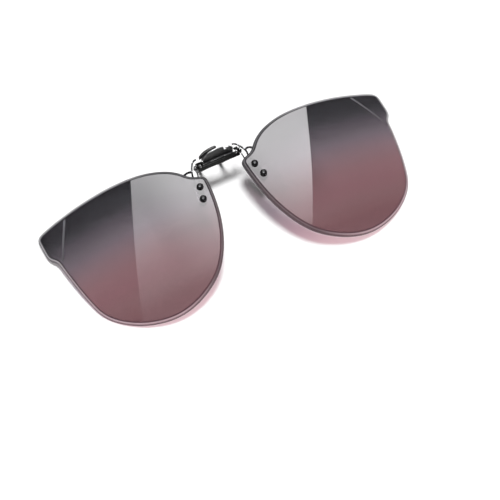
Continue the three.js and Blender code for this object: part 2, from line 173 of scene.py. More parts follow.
def tube(points, radius, sides=14, per=6, ends=("round", "round"), flat=None):
    """Swept wire. radius is a number or a function of 0..1. flat(t) gives (width scale, height scale)."""
    path = open_curve(points, per)
    length = np.concatenate([[0], np.cumsum(np.linalg.norm(np.diff(path, axis=0), axis=1))])
    total = length[-1]
    r_at = radius if callable(radius) else (lambda t: radius)
    stations = []
    tang = np.gradient(path, axis=0)
    tang /= np.linalg.norm(tang, axis=1)[:, None]
    up = np.array([0.0, 0.0, 1.0]) if abs(tang[0][2]) < 0.9 else np.array([1.0, 0.0, 0.0])
    nrm = up - tang[0] * (up @ tang[0])
    nrm /= np.linalg.norm(nrm)
    frames = []
    for i in range(len(path)):
        nrm = nrm - tang[i] * (nrm @ tang[i])
        nrm /= np.linalg.norm(nrm)
        frames.append((nrm.copy(), np.cross(tang[i], nrm)))
    def ring(i, scale, shift):
        t = length[i] / total
        r = r_at(t) * scale
        w, h = flat(t) if flat else (1.0, 1.0)
        a = np.arange(sides) * 2 * math.pi / sides
        n, b = frames[i]
        return path[i] + tang[i] * shift + r * (np.cos(a)[:, None] * n * h + np.sin(a)[:, None] * b * w)
    r0, r1 = r_at(0), r_at(1)
    last = len(path) - 1
    bulge = [math.pi / 2 * k / 4 for k in (1, 2, 3)]
    rings = [ring(0, math.sin(q), -0.6 * r0 * math.cos(q)) for q in bulge] if ends[0] == "round" else []
    rings += [ring(i, 1.0, 0.0) for i in range(len(path))]
    if ends[1] == "round":
        rings += [ring(last, math.sin(q), 0.6 * r1 * math.cos(q)) for q in reversed(bulge)]
    n = len(rings)
    verts = np.vstack(rings + [rings[0].mean(0)[None], rings[-1].mean(0)[None]])
    faces = []
    for j in range(n - 1):
        for i in range(sides):
            k = (i + 1) % sides
            faces.append((j * sides + i, j * sides + k, (j + 1) * sides + k, (j + 1) * sides + i))
    a, b = n * sides, n * sides + 1
    for i in range(sides):
        k = (i + 1) % sides
        faces.append((a, k, i))
        faces.append((b, (n - 1) * sides + i, (n - 1) * sides + k))
    return verts, faces


def lathe(profile, seg=40, close=False):
    """Turned shape about +Z. profile runs from the bottom of the axis to the top, or round a closed section."""
    prof = np.array(profile, float)
    verts, rows = [], []
    for r, h in prof:
        if r < 1e-6 and not close:
            rows.append([len(verts)])
            verts.append((0, 0, h))
        else:
            rows.append(list(range(len(verts), len(verts) + seg)))
            for i in range(seg):
                a = 2 * math.pi * i / seg
                verts.append((r * math.cos(a), r * math.sin(a), h))
    faces = []
    pairs = list(zip(rows, rows[1:])) + ([(rows[-1], rows[0])] if close else [])
    for a, b in pairs:
        for i in range(seg):
            k = (i + 1) % seg
            if len(a) == 1 and len(b) == 1:
                continue
            if len(a) == 1:
                faces.append((a[0], b[k], b[i]))
            elif len(b) == 1:
                faces.append((a[i], a[k], b[0]))
            else:
                faces.append((a[i], a[k], b[k], b[i]))
    return np.array(verts, float), faces


def rounded(points, radius, steps=4):
    """Closed polygon with each corner rounded."""
    p = np.array(points, float)
    out = []
    for i in range(len(p)):
        a, b, c = p[i - 1], p[i], p[(i + 1) % len(p)]
        d1, d2 = a - b, c - b
        l1, l2 = np.linalg.norm(d1), np.linalg.norm(d2)
        r = min(radius if np.isscalar(radius) else radius[i], 0.45 * l1, 0.45 * l2)
        q1, q2 = b + d1 / l1 * r, b + d2 / l2 * r
        for k in range(steps + 1):
            t = k / steps
            out.append((1 - t) ** 2 * q1 + 2 * t * (1 - t) * b + t * t * q2)
    return np.array(out)


# ---------------------------------------------------------------- materials
def material(name):
    m = bpy.data.materials.new(name)
    m.use_nodes = True
    t = m.node_tree
    t.nodes.clear()
    out = t.nodes.new("ShaderNodeOutputMaterial")
    return m, t, out


def node(t, kind, **inputs):
    n = t.nodes.new(kind)
    for k, v in inputs.items():
        n.inputs[k.replace("_", " ")].default_value = v
    return n


def ramp(t, stops, source, smooth="LINEAR"):
    r = t.nodes.new("ShaderNodeValToRGB")
    r.color_ramp.interpolation = smooth
    e = r.color_ramp.elements
    while len(e) > 1:
        e.remove(e[-1])
    for i, (pos, col) in enumerate(stops):
        el = e[0] if i == 0 else e.new(pos)
        el.position = pos
        el.color = (*col, 1) if len(col) == 3 else col
    t.links.new(source, r.inputs["Fac"])
    return r.outputs["Color"]


def maths(t, op, a, b=None, clamp=False):
    n = t.nodes.new("ShaderNodeMath")
    n.operation = op
    n.use_clamp = clamp
    for i, x in enumerate((a, b)):
        if x is None:
            continue
        if isinstance(x, (int, float)):
            n.inputs[i].default_value = x
        else:
            t.links.new(x, n.inputs[i])
    return n.outputs[0]


def place_v(t):
    """The lens height coordinate, 0 at v = -34 mm and 1 at v = +26 mm."""
    uv = t.nodes.new("ShaderNodeUVMap")
    uv.uv_map = "place"
    sep = t.nodes.new("ShaderNodeSeparateXYZ")
    t.links.new(uv.outputs["UV"], sep.inputs[0])
    return sep.outputs["Y"], sep.outputs["X"], uv.outputs["UV"]


V = lambda v: (v + 34.0) / 60.0
# transmission of one surface against height on the lens
TINT = [(-33, (0.504, 0.378, 0.39)), (-26, (0.513, 0.376, 0.389)), (-20, (0.554, 0.423, 0.434)), (-14, (0.579, 0.431, 0.45)), (-8, (0.594, 0.457, 0.474)), (-2, (0.581, 0.483, 0.508)), (4, (0.514, 0.472, 0.505)), (10, (0.392, 0.374, 0.399)), (16, (0.257, 0.256, 0.271)), (22, (0.185, 0.18, 0.195)), (26, (0.175, 0.17, 0.185))]
COAT = [(-32, 0.12), (22, 0.31), (26, 0.32)]
NOSE_TINT = 0.72


# what a lamp's light keeps on its way through the whole lens, where its shadow lies under the lens and where it shows beside it
CAST_UNDER = (0.80, 0.76, 0.78)
CAST_BESIDE = [(-33, (.62, .40, .44)), (-27, (.54, .33, .37)), (-17, (.33, .19, .235)), (-4, (.155, .115, .145)), (4, (.15, .11, .13)), (12, (.09, .08, .085)), (24, (.08, .075, .08))]


def lamp_through(t, shader, y, out):
    """Lamps reach the table through the lens; every other ray meets the shader."""
    beside = t.nodes.new("ShaderNodeAttribute")
    beside.attribute_name = "cast"
    cast = t.nodes.new("ShaderNodeMix")
    cast.data_type = "RGBA"
    t.links.new(beside.outputs["Fac"], cast.inputs[0])
    cast.inputs[6].default_value = (*[c ** 0.5 for c in CAST_UNDER], 1)
    t.links.new(ramp(t, [(V(v), tuple(c ** 0.5 for c in col)) for v, col in CAST_BESIDE], y), cast.inputs[7])
    lamp = node(t, "ShaderNodeBsdfTransparent")
    t.links.new(cast.outputs[2], lamp.inputs["Color"])
    path = t.nodes.new("ShaderNodeLightPath")
    both = t.nodes.new("ShaderNodeMixShader")
    t.links.new(path.outputs["Is Shadow Ray"], both.inputs[0])
    t.links.new(shader, both.inputs[1])
    t.links.new(lamp.outputs[0], both.inputs[2])
    t.links.new(both.outputs[0], out.inputs["Surface"])


def lens_face(name, coat_scale, rim_gloss):
    m, t, out = material(name)
    y, x, uv = place_v(t)
    # above the lens's lower quarter the tint is denser towards the nose
    nose = maths(t, "MULTIPLY_ADD", x, -1 / 0.28, clamp=True)
    nose.node.inputs[2].default_value = 0.42 / 0.28
    rise = maths(t, "MULTIPLY_ADD", y, 1 / 0.21, clamp=True)
    rise.node.inputs[2].default_value = -0.27 / 0.21
    nose = maths(t, "MULTIPLY", nose, rise)
    tint = ramp(t, [(V(v), col) for v, col in TINT], y)
    denser = t.nodes.new("ShaderNodeMix")
    denser.data_type = "RGBA"
    denser.blend_type = "MULTIPLY"
    t.links.new(nose, denser.inputs[0])
    t.links.new(tint, denser.inputs[6])
    denser.inputs[7].default_value = (NOSE_TINT, NOSE_TINT, NOSE_TINT, 1)
    coat = ramp(t, [(V(v), (c * coat_scale,) * 3) for v, c in COAT], y)
    clear = node(t, "ShaderNodeBsdfTransparent")
    t.links.new(denser.outputs[2], clear.inputs["Color"])
    gloss = node(t, "ShaderNodeBsdfGlossy")
    gloss.distribution = "GGX"
    # very fine wipe haze in the hard coat
    noise = node(t, "ShaderNodeTexNoise", Scale=9.0, Detail=4.0, Roughness=0.6)
    mp = node(t, "ShaderNodeMapping")
    mp.inputs["Scale"].default_value = (1.0, 3.5, 1.0)
    t.links.new(uv, mp.inputs["Vector"])
    t.links.new(mp.outputs[0], noise.inputs["Vector"])
    rough = maths(t, "MULTIPLY_ADD", noise.outputs["Fac"], 0.02)
    rough.node.inputs[2].default_value = 0.002
    t.links.new(rough, gloss.inputs["Roughness"])
    gloss.inputs["Color"].default_value = (0.985, 0.97, 0.985, 1)
    # more reflection at a glancing angle, but only from the outside, so that nothing is trapped between the two faces
    facing = node(t, "ShaderNodeLayerWeight", Blend=0.5)
    geo = t.nodes.new("ShaderNodeNewGeometry")
    edge = maths(t, "MULTIPLY", maths(t, "POWER", facing.outputs["Facing"], 5.0), rim_gloss)
    edge = maths(t, "MULTIPLY", edge, maths(t, "SUBTRACT", 1.0, geo.outputs["Backfacing"]))
    fac = maths(t, "ADD", coat, edge, clamp=True)
    mix = t.nodes.new("ShaderNodeMixShader")
    t.links.new(fac, mix.inputs[0])
    t.links.new(clear.outputs[0], mix.inputs[1])
    t.links.new(gloss.outputs[0], mix.inputs[2])
    lamp_through(t, mix.outputs[0], y, out)
    return m


def ground_rim(name, base_top, base_bottom, rough, see, bump=0.3, spec=0.5, levels=(-32, -6, 10), at_nose=1.0):
    """The cut edge of the lens: ground and buffed, so partly see-through and satin."""
    m, t, out = material(name)
    y, x, uv = place_v(t)
    col = ramp(t, [(V(levels[0]), base_bottom), (V(levels[1]), tuple((a + b) / 2 for a, b in zip(base_top, base_bottom))), (V(levels[2]), base_top)], y)
    if at_nose < 1:
        duller = t.nodes.new("ShaderNodeMix")
        duller.data_type = "RGBA"
        duller.blend_type = "MULTIPLY"
        duller.inputs[0].default_value = 1.0
        t.links.new(col, duller.inputs[6])
        t.links.new(ramp(t, [(0.22, (at_nose,) * 3), (0.48, (1, 1, 1))], x), duller.inputs[7])
        col = duller.outputs[2]
    p = node(t, "ShaderNodeBsdfPrincipled", Roughness=rough)
    p.inputs["Specular IOR Level"].default_value = spec
    geo = t.nodes.new("ShaderNodeTexCoord")
    noise = node(t, "ShaderNodeTexNoise", Scale=900.0, Detail=6.0, Roughness=0.65)
    t.links.new(geo.outputs["Object"], noise.inputs["Vector"])
    mixc = t.nodes.new("ShaderNodeMix")
    mixc.data_type = "RGBA"
    mixc.blend_type = "MULTIPLY"
    mixc.inputs[0].default_value = 0.35
    t.links.new(col, mixc.inputs[6])
    t.links.new(ramp(t, [(0.3, (0.6, 0.6, 0.6)), (0.7, (1, 1, 1))], noise.outputs["Fac"]), mixc.inputs[7])
    t.links.new(mixc.outputs[2], p.inputs["Base Color"])
    b = node(t, "ShaderNodeBump", Strength=bump, Distance=0.00002)
    t.links.new(noise.outputs["Fac"], b.inputs["Height"])
    t.links.new(b.outputs[0], p.inputs["Normal"])
    clear = node(t, "ShaderNodeBsdfTransparent")
    t.links.new(ramp(t, [(V(-32), (0.80, 0.62, 0.66)), (V(-6), (0.74, 0.66, 0.70)), (V(12), (0.60, 0.60, 0.62))], y), clear.inputs["Color"])
    mix = t.nodes.new("ShaderNodeMixShader")
    mix.inputs[0].default_value = 1 - see
    t.links.new(clear.outputs[0], mix.inputs[1])
    t.links.new(p.outputs[0], mix.inputs[2])
    lamp_through(t, mix.outputs[0], y, out)
    return m


def metal(name, dark, light, rough, grain=(1, 1, 1), scale=700, bump=0.15, wear=0.0, metallic=1.0, coat=0.0, bare_edge_highlight=None):
    """Plated or drawn metal with fine grain, uneven plating, rubbed edges and, where asked, a light edge that is partly
    a painted highlight.
    """
    m, t, out = material(name)
    tc = t.nodes.new("ShaderNodeTexCoord")
    mp = t.nodes.new("ShaderNodeMapping")
    mp.inputs["Scale"].default_value = grain
    t.links.new(tc.outputs["Object"], mp.inputs["Vector"])
    fine = node(t, "ShaderNodeTexNoise", Scale=scale, Detail=8.0, Roughness=0.6)
    t.links.new(mp.outputs[0], fine.inputs["Vector"])
    broad = node(t, "ShaderNodeTexNoise", Scale=scale * 0.2, Detail=3.0)
    t.links.new(tc.outputs["Object"], broad.inputs["Vector"])
    both = maths(t, "ADD", maths(t, "MULTIPLY", fine.outputs["Fac"], 0.6), maths(t, "MULTIPLY", broad.outputs["Fac"], 0.4))
    col = ramp(t, [(0.3, dark), (0.7, light)], both)
    if wear:
        geo = t.nodes.new("ShaderNodeNewGeometry")
        worn = ramp(t, [(0.56, (0, 0, 0)), (0.68, (1, 1, 1))], maths(t, "ADD", geo.outputs["Pointiness"], maths(t, "MULTIPLY", fine.outputs["Fac"], 0.03)))
        mixc = t.nodes.new("ShaderNodeMix")
        mixc.data_type = "RGBA"
        t.links.new(maths(t, "MULTIPLY", worn, wear), mixc.inputs[0])
        t.links.new(col, mixc.inputs[6])
        mixc.inputs[7].default_value = (0.45, 0.45, 0.46, 1)
        col = mixc.outputs[2]
    if bare_edge_highlight:
        # the edge that faces this way in the part's own axes, away from the rod, is coloured light steel: partly the
        # bare stamped edge, partly a painted highlight standing in for the soft box's reflection; near the rod the
        # plate keeps one even dark grey
        dot = t.nodes.new("ShaderNodeVectorMath")
        dot.operation = "DOT_PRODUCT"
        t.links.new(tc.outputs["Normal"], dot.inputs[0])
        dot.inputs[1].default_value = bare_edge_highlight
        along = t.nodes.new("ShaderNodeVectorMath")
        along.operation = "DOT_PRODUCT"
        away = t.nodes.new("ShaderNodeVectorMath")
        away.operation = "SUBTRACT"
        t.links.new(tc.outputs["Object"], away.inputs[0])
        away.inputs[1].default_value = tuple(CLIP.translation * K)
        t.links.new(away.outputs[0], along.inputs[0])
        along.inputs[1].default_value = tuple(Vector(bare_edge_highlight) / K)
        far = maths(t, "SUBTRACT", along.outputs["Value"], 2.2, clamp=True)
        root = t.nodes.new("ShaderNodeMix")
        root.data_type = "RGBA"
        t.links.new(maths(t, "SUBTRACT", along.outputs["Value"], 0.9, clamp=True), root.inputs[0])
        root.inputs[6].default_value = (0.042, 0.042, 0.044, 1)
        t.links.new(col, root.inputs[7])
        mixc = t.nodes.new("ShaderNodeMix")
        mixc.data_type = "RGBA"
        t.links.new(maths(t, "MULTIPLY", ramp(t, [(0.86, (0, 0, 0)), (0.94, (1, 1, 1))], dot.outputs["Value"]), far), mixc.inputs[0])
        t.links.new(root.outputs[2], mixc.inputs[6])
        mixc.inputs[7].default_value = (0.8, 0.8, 0.81, 1)
        col = mixc.outputs[2]
    p = node(t, "ShaderNodeBsdfPrincipled", Metallic=metallic)
    t.links.new(col, p.inputs["Base Color"])
    p.inputs["Coat Weight"].default_value = coat
    p.inputs["Coat Roughness"].default_value = 0.08
    r = maths(t, "MULTIPLY_ADD", both, 0.22)
    r.node.inputs[2].default_value = rough - 0.11
    t.links.new(r, p.inputs["Roughness"])
    b = node(t, "ShaderNodeBump", Strength=bump, Distance=0.00002)
    t.links.new(fine.outputs["Fac"], b.inputs["Height"])
    t.links.new(b.outputs[0], p.inputs["Normal"])
    t.links.new(p.outputs[0], out.inputs["Surface"])
    return m


def soft(name, dark, light, rough, scale, bump, distance=0.00004, sheen=0.0, sub=0.0):
    """Moulded rubber or nylon: fine moulded grain."""
    m, t, out = material(name)
    tc = t.nodes.new("ShaderNodeTexCoord")
    grain = node(t, "ShaderNodeTexVoronoi", Scale=scale)
    t.links.new(tc.outputs["Object"], grain.inputs["Vector"])
    noise = node(t, "ShaderNodeTexNoise", Scale=scale * 0.35, Detail=5.0)
    t.links.new(tc.outputs["Object"], noise.inputs["Vector"])
    p = node(t, "ShaderNodeBsdfPrincipled")
    t.links.new(ramp(t, [(0.3, dark), (0.75, light)], noise.outputs["Fac"]), p.inputs["Base Color"])
    r = maths(t, "MULTIPLY_ADD", noise.outputs["Fac"], 0.2)
    r.node.inputs[2].default_value = rough - 0.1
    t.links.new(r, p.inputs["Roughness"])
    p.inputs["Sheen Weight"].default_value = sheen
    p.inputs["Subsurface Weight"].default_value = sub
    p.inputs["Subsurface Scale"].default_value = 0.0005
    b = node(t, "ShaderNodeBump", Strength=bump, Distance=distance)
    t.links.new(maths(t, "ADD", grain.outputs["Distance"], noise.outputs["Fac"]), b.inputs["Height"])
    t.links.new(b.outputs[0], p.inputs["Normal"])
    t.links.new(p.outputs[0], out.inputs["Surface"])
    return m


TAB_UP = tuple((CLIP.to_3x3() @ Vector((0, math.cos(math.radians(30)), -math.sin(math.radians(30))))).normalized())
LENS_FRONT = lens_face("lens_front_coated", 1.0, 0.3)
LENS_BACK = lens_face("lens_back_hard_coat", 0.08, 0.5)
RIM = ground_rim("lens_ground_bevel", (0.17, 0.165, 0.174), (0.36, 0.25, 0.275), 0.42, 0.12, levels=(-32, 0, 13), at_nose=0.3)
EDGE = ground_rim("lens_cut_edge", (0.028, 0.026, 0.030), (0.085, 0.04, 0.05), 0.3, 0.12)
# the bright line along the bevel is a painted highlight: a light grey colour that stands in for the soft box's
# reflection, pinker towards the bottom and dimmer near the nose
BEVEL_PAINTED_HIGHLIGHT = ground_rim("lens_bevel_painted_highlight", (0.46, 0.45, 0.465), (0.52, 0.38, 0.41), 0.3, 0.10, levels=(-32, 0, 13), at_nose=0.3)
LINE = ground_rim("lens_engraved_line", (0.15, 0.148, 0.16), (0.055, 0.05, 0.056), 0.5, 0.22, bump=0.6, levels=(6, 13, 20))
GUNMETAL = metal("gunmetal_plate", (0.013, 0.013, 0.0128), (0.026, 0.026, 0.0255), 0.36, grain=(0.15, 1, 1), scale=1500, wear=0.35)
BLACK = metal("black_plate", (0.012, 0.012, 0.013), (0.03, 0.03, 0.032), 0.2, scale=500, bump=0.05, metallic=0.6, coat=0.5)
# the press tab's top edge gets a light colour that is partly a painted highlight
JAWMETAL = metal("black_nickel_plate", (0.030, 0.030, 0.031), (0.056, 0.056, 0.057), 0.42, grain=(0.15, 1, 1), scale=1500, wear=0.35, metallic=0.45, bare_edge_highlight=TAB_UP)
STEEL = metal("dark_steel_wire", (0.16, 0.16, 0.165), (0.28, 0.28, 0.29), 0.26, grain=(1, 1, 1), scale=1200, bump=0.12)
BRIGHT = metal("bright_steel", (0.5, 0.5, 0.51), (0.68, 0.68, 0.69), 0.22, scale=1000, bump=0.1)
SPRING = metal("spring_steel", (0.3, 0.3, 0.31), (0.42, 0.42, 0.43), 0.25, scale=1200, bump=0.1)
NYLON = soft("nylon_washer", (0.62, 0.62, 0.60), (0.75, 0.75, 0.73), 0.45, 2500, 0.2, sub=0.2)
RUBBER = soft("black_rubber", (0.012, 0.012, 0.0125), (0.024, 0.024, 0.025), 0.62, 3500, 0.5, sheen=0.15)
GLOSS = metal("black_tab_gloss", (0.010, 0.010, 0.0105), (0.022, 0.022, 0.023), 0.3, scale=600, bump=0.06, metallic=0.0, coat=1.0)
for n in GLOSS.node_tree.nodes:
    if n.type == "BSDF_PRINCIPLED":
        n.inputs["Coat IOR"].default_value = 1.9
        n.inputs["Coat Roughness"].default_value = 0.06

# ---------------------------------------------------------------- lenses
outer120 = spaced(closed_curve(OUTLINE, 40), 120, True)
tangent = np.roll(outer120, -1, 0) - np.roll(outer120, 1, 0)
tangent /= np.linalg.norm(tangent, axis=1)[:, None]
inner120 = outer120 + 1.15 * np.stack([tangent[:, 1], -tangent[:, 0]], 1)
OUT, INN = closed_curve(outer120, 4), closed_curve(inner120, 4)
RING = len(OUT)
BEVEL = 0.45
# rows across the edge, as (share from the bevel's inner line to the rim, drop below the front surface)
EDGE_ROWS = [(-0.07, 0.0), (0.0, 0.010), (0.07, 0.040), (0.35, 0.158), (0.65, 0.292), (0.90, 0.405), (0.97, 0.45), (1.0, 0.53),
             (1.0, 0.85), (1.0, 1.15), (1.0, THICK - 0.10), (0.975, THICK - 0.03), (0.90, THICK), (0.80, THICK)]
GROOVE = ((20.35, 22.1), (28.35, 6.9))


def hole_ring(side, k, level, seg=28):
    """Where a rivet hole leaves the lens surface at that level, as (u, v) in the unmirrored lens."""
    m = seat_frame(side)
    pts = []
    for i in range(seg):
        a = 2 * math.pi * i / seg
        t = level
        for _ in range(4):
            p = m @ Vector((0.8 * math.cos(a), k * PITCH / 2 + 0.8 * math.sin(a), t))
            t += (sag(p.x, p.y) + level) - p.z
        pts.append((side * p.x, p.y))
    pts = np.array(pts)
    c = pts.mean(0)
    order = np.argsort(np.arctan2(pts[:, 1] - c[1], pts[:, 0] - c[0]))
    return pts[order]


def inside(poly, pts):
    x, y = pts[:, 0], pts[:, 1]
    res = np.zeros(len(pts), bool)
    j = len(poly) - 1
    for i in range(len(poly)):
        xi, yi, xj, yj = poly[i][0], poly[i][1], poly[j][0], poly[j][1]
        cross = ((yi > y) != (yj > y)) & (x < (xj - xi) * (y - yi) / (yj - yi + 1e-12) + xi)
        res ^= cross
        j = i
    return res


def face_mesh(border, holes, groove):
    """Triangulates the face inside border and outside the holes, with the groove's lines in it."""
    step = 1.3
    gu, gv = np.meshgrid(np.arange(-33, 34, step), np.arange(-33, 26, step * 0.87))
    gu = gu + (np.arange(gu.shape[0]) % 2)[:, None] * step / 2
    grid = np.stack([gu.ravel(), gv.ravel()], 1)
    grid = grid[inside(border, grid)]
    d = np.min(np.linalg.norm(grid[:, None] - border[None], axis=2), axis=1)
    grid = grid[d > 0.7]
    for h in holes:
        c = h.mean(0)
        grid = grid[np.linalg.norm(grid - c, axis=1) > 1.25]
    pts, edges, kind = [], [], []
    def add(loop, closed, tag):
        start = len(pts)
        pts.extend(map(tuple, loop))
        kind.extend([tag] * len(loop))
        for i in range(len(loop) - (0 if closed else 1)):
            edges.append((start + i, start + (i + 1) % len(loop)))
        return start
    add(border, True, 0)
    hole_at = [add(h, True, 0) for h in holes]
    if groove:
        a, b = np.array(GROOVE[0]), np.array(GROOVE[1])
        d = (b - a) / np.linalg.norm(b - a)
        n = np.array([-d[1], d[0]])
        a, b = a + d * 0.10, b - d * 0.42
        L = np.linalg.norm(b - a)
        s = np.linspace(0, L, 25)
        w = 0.40 * np.clip(np.minimum(s, L - s) / 0.5, 0, 1) ** 0.5
        keep = np.abs((grid - a) @ n) > 0.75
        keep |= ((grid - a) @ d < -0.6) | ((grid - a) @ d > L + 0.6)
        grid = grid[keep]
        mid = a + np.outer(s, d)
        left, right = (mid + w[:, None] * n)[1:-1], (mid - w[:, None] * n)[1:-1]
        base = add(mid, False, 1)
        for lst in (left, right):
            st = add(lst, False, 0)
            edges.append((base, st))
            edges.append((st + len(lst) - 1, base + len(mid) - 1))
    start = len(pts)
    pts.extend(map(tuple, grid))
    kind.extend([0] * len(grid))
    co, ed, fa, vo, _, _ = delaunay_2d_cdt([Vector(p) for p in pts], edges, [], 0, 1e-6, True)
    co = np.array([tuple(c) for c in co])
    tri = np.array([f for f in fa], int)
    mid = co[tri].mean(1)
    ok = inside(border, mid)
    for h in holes:
        ok &= ~inside(h, mid)
    tri = tri[ok]
    area = np.cross(co[tri[:, 1]] - co[tri[:, 0]], co[tri[:, 2]] - co[tri[:, 0]])
    tri[area < 0] = tri[area < 0][:, ::-1]
    tri = tri[np.abs(area) > 1e-9]
    tags = np.zeros(len(co), int)
    first = [v[0] if len(v) else -1 for v in vo]
    for i, f in enumerate(first):
        if f >= 0:
            tags[i] = kind[f]
    where = {f: i for i, f in enumerate(first) if f >= 0}
    in_groove = np.zeros(len(tri), bool)
    if groove:
        q = co[tri].mean(1) - a
        s_at = q @ d
        w_at = np.interp(s_at, s, w, left=-1, right=-1)
        in_groove = np.abs(q @ n) < w_at
    return co, tri, tags, where, hole_at, in_groove


def build_lens(side):
    name = "right" if side > 0 else "left"
    row = lambda f: INN + f * (OUT - INN)
    verts, faces, mats = [], [], []
    holes_f = [hole_ring(side, k, 0.0) for k in (1, -1)]
    holes_b = [hole_ring(side, k, -THICK) for k in (1, -1)]
    # front
    border = row(EDGE_ROWS[0][0])
    co, tri, tags, where, hole_at, in_groove = face_mesh(border, holes_f, True)
    z = sag(co[:, 0], co[:, 1])
    z[tags == 1] -= 0.30
    first_tag = np.flatnonzero(tags == 1)
    verts.append(np.column_stack([co, z]))
    faces += [tuple(f) for f in tri]
    mats += [4 if g else 0 for g in in_groove]
    ring_ids = [where[i] for i in range(RING)]
    hole_ids_f = [[where[h + i] for i in range(28)] for h in hole_at]
    count = len(co)
    # edge rows
    rows_ids = [ring_ids]
    for f, drop in EDGE_ROWS[1:-1]:
        p = row(f)
        verts.append(np.column_stack([p, sag(p[:, 0], p[:, 1]) - drop]))
        rows_ids.append(list(range(count, count + RING)))
        count += RING
    # back
    border_b = row(EDGE_ROWS[-1][0])
    cob, trib, _, whereb, hole_atb, _ = face_mesh(border_b, holes_b, False)
    verts.append(np.column_stack([cob, sag(cob[:, 0], cob[:, 1]) - THICK]))
    faces += [tuple(f[::-1] + count) for f in trib]
    mats += [1] * len(trib)
    rows_ids.append([whereb[i] + count for i in range(RING)])
    hole_ids_b = [[whereb[h + i] + count for i in range(28)] for h in hole_atb]
    count += len(cob)
    # tag 5 on row 3 is the painted highlight line along the bevel
    tag_of_row = [3, 3, 3, 5, 2, 3, 3, 3, 3, 3, 3, 3, 1]
    for r in range(len(rows_ids) - 1):
        a, b = rows_ids[r], rows_ids[r + 1]
        for i in range(RING):
            k = (i + 1) % RING
            faces.append((a[i], a[k], b[k], b[i]))
            mats.append(tag_of_row[r])
    for hf, hb in zip(hole_ids_f, hole_ids_b):
        for i in range(28):
            k = (i + 1) % 28
            faces.append((hf[i], hb[i], hb[k], hf[k]))
            mats.append(3)
    v = np.vstack(verts)
    uv = np.column_stack([(v[:, 0] + 34) / 68, (v[:, 1] + 34) / 60])
    v[:, 0] *= side
    # the outline runs clockwise seen from the front, so the edge faces are right for one side and mirrored for the other
    mats = np.array(mats)
    normal = np.column_stack([v[:, 0] / RADIUS, v[:, 1] / RADIUS, np.ones(len(v))])
    normal /= np.linalg.norm(normal, axis=1)[:, None]
    if side < 0:
        faces = [tuple(reversed(f)) for f in faces]
    obj = piece(f"{name}_lens_ground", v, faces, lens_frame(side), [LENS_FRONT, LENS_BACK, RIM, EDGE, LINE, BEVEL_PAINTED_HIGHLIGHT], "lens_front",
                [f"{name}_lens"], mats, angle=28, uv=uv, normals=((0,), normal, (1,)))
    # 1 where the lamp's shadow of this point lies beside the lens for someone looking from the front left, 0 where it lies under the lens
    flat = np.column_stack([v[:, 0] * side, v[:, 1]])
    height = (np.array([(lens_frame(side) @ Vector(p)).z for p in v])).clip(0, 25)
    moved = flat - np.column_stack([side * 0.27 * height, 0.52 * height]) * 0.95
    gap = np.concatenate([np.min(np.linalg.norm(q[:, None] - OUT[None, ::4], axis=2), axis=1) for q in np.array_split(moved, 8)])
    gap = np.where(inside(OUT, moved), gap, -gap)
    cast = np.clip(0.5 - gap / 3.0, 0, 1)
    cast = cast * cast * (3 - 2 * cast)
    att = obj.data.attributes.new("cast", "FLOAT", "POINT")
    att.data.foreach_set("value", cast.astype(np.float32))
    return obj


lens_objs = [build_lens(s) for s in (-1, 1)]

# ---------------------------------------------------------------- rivets, washers, collars, brackets
DOME = [(1.3 * math.cos(a), 0.42 + 0.68 * math.sin(a)) for a in np.linspace(0, math.pi / 2, 11)]
RIVET_HEAD = [(0, -3.85), (0.42, -3.85), (0.5, -3.77), (0.5, -0.02), (0.9, -0.02), (1.18, 0.02), (1.27, 0.10), (1.3, 0.2)] + DOME[:-1] + [(0, 1.10)]
WASHER = [(0.8, -2.14), (0.86, -2.2), (1.42, -2.2), (1.5, -2.12), (1.5, -1.88), (1.42, -1.8), (0.86, -1.8), (0.8, -1.86)]
COLLAR = [(0.8, -3.9), (0.88, -4.02), (1.0, -4.05), (1.16, -4.0), (1.28, -3.86), (1.32, -3.6), (1.3, -3.35), (1.2, -3.25), (0.9, -3.25), (0.8, -3.32)]
for side in (-1, 1):
    name = "right" if side > 0 else "left"
    base = lens_frame(side) @ seat_frame(side)
    for k, label in ((1, "upper"), (-1, "lower")):
        at = base @ Matrix.Translation((0, k * PITCH / 2, 0))
        v, f = lathe(RIVET_HEAD, 48)
        piece(f"{name}_{label}_rivet_dome", v, f, at, [BLACK], "lens_front", [f"{name}_{label}_rivet"], angle=50)
        v, f = lathe(WASHER, 40, close=True)
        piece(f"{name}_{label}_washer_ring", v, f, at, [NYLON], "lens_front", [f"{name}_{label}_washer"], angle=50)
        v, f = lathe(COLLAR, 40, close=True)
        piece(f"{name}_{label}_rivet_curl", v, f, at, [STEEL], "lens_front", [f"{name}_{label}_rivet_collar"], angle=50)

# ---------------------------------------------------------------- wires
def squeezed(t):
    """Width and height scales that would press a wire flat where it is soldered to the bracket; no wire here is given
    them.
    """
    k = max(0.0, 1 - t / 0.10)
    return 1 + 0.5 * k, 1 - 0.35 * k


for side in (-1, 1):
    name = "right" if side > 0 else "left"
    mirrored = lambda pts: [(side * x, y, z) for x, y, z in pts]
    v, f = tube(mirrored([(11.7, 11.25, -0.75), (11.5, 12.6, -0.8), (11.3, 13.6, -0.45), (11.3, 14.3, 0.15), (11.1, 15.0, 0.55),
                          (10.7, 16.1, 0.65), (10.1, 17.35, 0.5), (9.2, 18.7, 0.4), (8.35, 19.25, 0.6), (7.6, 19.2, 1.15)]), 0.35, 16, 8)
    piece(f"{name}_main_wire", v, f, FRONT, [STEEL], "lens_front", [f"{name}_main_wire_arm"], angle=60)
    v, f = tube(mirrored([(15.2, 14.9, -1.75), (14.3, 15.75, -1.2), (13.2, 16.1, -0.6), (12.2, 16.0, 0.0), (11.35, 15.65, 0.42)]), 0.45, 16, 10)
    piece(f"{name}_brace", v, f, FRONT, [STEEL], "lens_front", [f"{name}_brace_bar"], angle=60)
    v, f = tube(mirrored([(9.8, 11.25, -0.75), (9.65, 12.3, -0.75), (9.5, 13.1, -0.5), (9.3, 14.0, 0.0), (9.2, 14.7, 0.22)]), 0.25, 14, 10)
    piece(f"{name}_strut", v, f, FRONT, [STEEL], "lens_front", [f"{name}_thin_strut"], angle=60)

